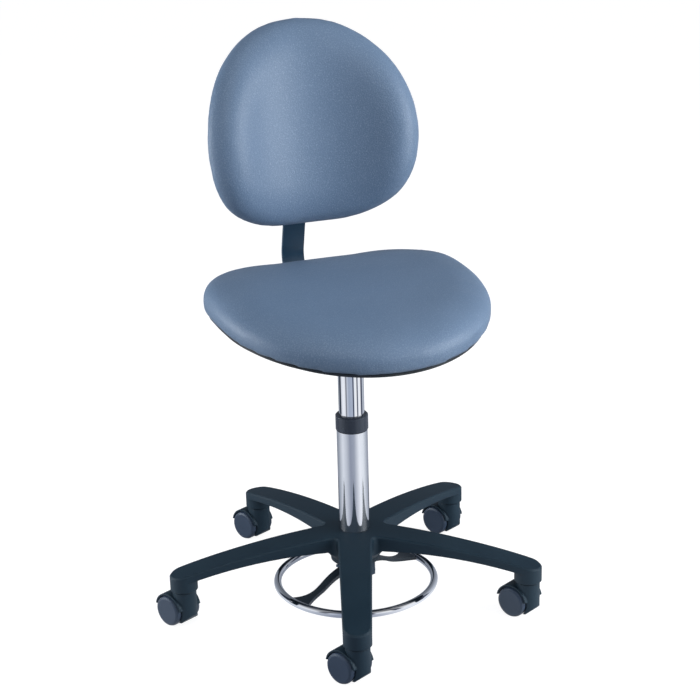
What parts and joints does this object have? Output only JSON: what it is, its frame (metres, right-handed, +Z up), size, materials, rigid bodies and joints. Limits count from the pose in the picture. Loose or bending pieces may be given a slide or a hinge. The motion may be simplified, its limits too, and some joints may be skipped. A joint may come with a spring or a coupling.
{
  "type": "laboratory stool",
  "caption": "Swivel laboratory stool with a padded seat and wrapped back, a gas spring column worked by a foot ring, and a caster base.",
  "frame": {"origin": "on the floor under the column's axis", "axes": "+Z up; the sitter faces -Y; +X is to the right of someone who looks at the stool from in front"},
  "size_m": [0.5941, 0.6197, 0.9203],
  "materials": {
    "vinyl": "satin slate blue coated cloth with a fine grain",
    "nylon": "satin near-black moulded nylon",
    "wheel_nylon": "satin dark grey moulded nylon",
    "black_plastic": "matt black",
    "white_plastic": "natural, unpainted",
    "chrome": "polished",
    "steel": "zinc plated",
    "painted_steel": "dark satin powder coat",
    "plywood": "bare plywood"
  },
  "bodies": {
    "base": {"base_star": "nylon", "stand_tube": "chrome", "guide_bush": "black_plastic", "lower_washer": "steel", "thrust_bearing": "white_plastic", "yoke_retainer": "painted_steel", "retainer_screws": "steel"},
    "column": {"piston_rod": "steel", "piston": "white_plastic", "upper_washer": "steel", "retaining_clip": "steel"},
    "release": {"release_pin": "steel"},
    "footrest": {"foot_ring": "chrome", "foot_ring_yoke": "chrome"},
    "seat": {"guide_tube": "chrome", "spindle_head": "steel", "gas_cylinder": "painted_steel", "cylinder_seal": "white_plastic", "seat_plate": "painted_steel", "seat_bolts": "steel", "seat_board": "plywood", "seat_pan": "black_plastic", "seat_cushion": "vinyl", "bar_guide": "painted_steel"},
    "depth_clamp": {"depth_knob": "black_plastic"},
    "back_support": {"back_bar": "painted_steel"},
    "back": {"back_cushion": "vinyl", "back_board": "plywood", "back_cover": "vinyl", "back_bracket": "painted_steel", "back_screws": "steel"},
    "height_clamp": {"height_knob": "black_plastic"},
    "caster_1": {"caster_hood_1": "nylon", "caster_stem_1": "steel", "caster_axle_1": "steel"},
    "wheel_1_left": {"caster_wheel_1_left": "wheel_nylon"},
    "wheel_1_right": {"caster_wheel_1_right": "wheel_nylon"},
    "caster_2": {"caster_hood_2": "nylon", "caster_stem_2": "steel", "caster_axle_2": "steel"},
    "wheel_2_left": {"caster_wheel_2_left": "wheel_nylon"},
    "wheel_2_right": {"caster_wheel_2_right": "wheel_nylon"},
    "caster_3": {"caster_hood_3": "nylon", "caster_stem_3": "steel", "caster_axle_3": "steel"},
    "wheel_3_left": {"caster_wheel_3_left": "wheel_nylon"},
    "wheel_3_right": {"caster_wheel_3_right": "wheel_nylon"},
    "caster_4": {"caster_hood_4": "nylon", "caster_stem_4": "steel", "caster_axle_4": "steel"},
    "wheel_4_left": {"caster_wheel_4_left": "wheel_nylon"},
    "wheel_4_right": {"caster_wheel_4_right": "wheel_nylon"},
    "caster_5": {"caster_hood_5": "nylon", "caster_stem_5": "steel", "caster_axle_5": "steel"},
    "wheel_5_left": {"caster_wheel_5_left": "wheel_nylon"},
    "wheel_5_right": {"caster_wheel_5_right": "wheel_nylon"}
  },
  "joints": [
    {"name": "seat_swivel", "type": "hinge", "parent": "base", "child": "column", "pos_m": [0, 0, 0.075], "axis": [0, 0, 1], "continuous": true},
    {"name": "seat_height", "type": "slide", "parent": "column", "child": "seat", "axis": [0, 0, 1], "range_m": [-0.08, 0.06]},
    {"name": "foot_ring_press", "type": "hinge", "parent": "base", "child": "footrest", "pos_m": [-0.01669, -0.00674, 0.0497], "axis": [0.3746, -0.9272, 0], "range_deg": [0, 7]},
    {"name": "release_lift", "type": "slide", "parent": "column", "child": "release", "axis": [0, 0, 1], "range_m": [0, 0.0024]},
    {"name": "back_depth", "type": "slide", "parent": "seat", "child": "back_support", "axis": [0, 0.9994, 0.0349], "range_m": [-0.03, 0.03]},
    {"name": "back_height", "type": "slide", "parent": "back_support", "child": "back", "axis": [0, 0.108, 0.9942], "range_m": [-0.02, 0.045]},
    {"name": "depth_clamp_turn", "type": "hinge", "parent": "seat", "child": "depth_clamp", "pos_m": [0, 0.09094, 0.48718], "axis": [0, -0.0349, 0.9994], "range_deg": [0, 540]},
    {"name": "height_clamp_turn", "type": "hinge", "parent": "back", "child": "height_clamp", "pos_m": [0, 0.17006, 0.76401], "axis": [0, -0.9942, 0.108], "range_deg": [0, 540]},
    {"name": "caster_swivel_1", "type": "hinge", "parent": "base", "child": "caster_1", "pos_m": [-0.10321, -0.26887, 0.0624], "axis": [0, 0, 1], "continuous": true},
    {"name": "wheel_spin_1_left", "type": "hinge", "parent": "caster_1", "child": "wheel_1_left", "pos_m": [-0.11085, -0.25368, 0.025], "axis": [-0.8934, -0.4493, 0], "continuous": true},
    {"name": "wheel_spin_1_right", "type": "hinge", "parent": "caster_1", "child": "wheel_1_right", "pos_m": [-0.11085, -0.25368, 0.025], "axis": [-0.8934, -0.4493, 0], "continuous": true},
    {"name": "caster_swivel_2", "type": "hinge", "parent": "base", "child": "caster_2", "pos_m": [0.22382, -0.18124, 0.0624], "axis": [0, 0, 1], "continuous": true},
    {"name": "wheel_spin_2_left", "type": "hinge", "parent": "caster_2", "child": "wheel_2_left", "pos_m": [0.21618, -0.16606, 0.025], "axis": [-0.8934, -0.4493, 0], "continuous": true},
    {"name": "wheel_spin_2_right", "type": "hinge", "parent": "caster_2", "child": "wheel_2_right", "pos_m": [0.21618, -0.16606, 0.025], "axis": [-0.8934, -0.4493, 0], "continuous": true},
    {"name": "caster_swivel_3", "type": "hinge", "parent": "base", "child": "caster_3", "pos_m": [0.24154, 0.15686, 0.0624], "axis": [0, 0, 1], "continuous": true},
    {"name": "wheel_spin_3_left", "type": "hinge", "parent": "caster_3", "child": "wheel_3_left", "pos_m": [0.2339, 0.17204, 0.025], "axis": [-0.8934, -0.4493, 0], "continuous": true},
    {"name": "wheel_spin_3_right", "type": "hinge", "parent": "caster_3", "child": "wheel_3_right", "pos_m": [0.2339, 0.17204, 0.025], "axis": [-0.8934, -0.4493, 0], "continuous": true},
    {"name": "caster_swivel_4", "type": "hinge", "parent": "base", "child": "caster_4", "pos_m": [-0.07454, 0.27819, 0.0624], "axis": [0, 0, 1], "continuous": true},
    {"name": "wheel_spin_4_left", "type": "hinge", "parent": "caster_4", "child": "wheel_4_left", "pos_m": [-0.08218, 0.29337, 0.025], "axis": [-0.8934, -0.4493, 0], "continuous": true},
    {"name": "wheel_spin_4_right", "type": "hinge", "parent": "caster_4", "child": "wheel_4_right", "pos_m": [-0.08218, 0.29337, 0.025], "axis": [-0.8934, -0.4493, 0], "continuous": true},
    {"name": "caster_swivel_5", "type": "hinge", "parent": "base", "child": "caster_5", "pos_m": [-0.2876, 0.01507, 0.0624], "axis": [0, 0, 1], "continuous": true},
    {"name": "wheel_spin_5_left", "type": "hinge", "parent": "caster_5", "child": "wheel_5_left", "pos_m": [-0.29524, 0.03026, 0.025], "axis": [-0.8934, -0.4493, 0], "continuous": true},
    {"name": "wheel_spin_5_right", "type": "hinge", "parent": "caster_5", "child": "wheel_5_right", "pos_m": [-0.29524, 0.03026, 0.025], "axis": [-0.8934, -0.4493, 0], "continuous": true}
  ],
  "couplings": [
    {"joint": "release_lift", "follows": "foot_ring_press", "m_per_rad": 0.018}
  ]
}
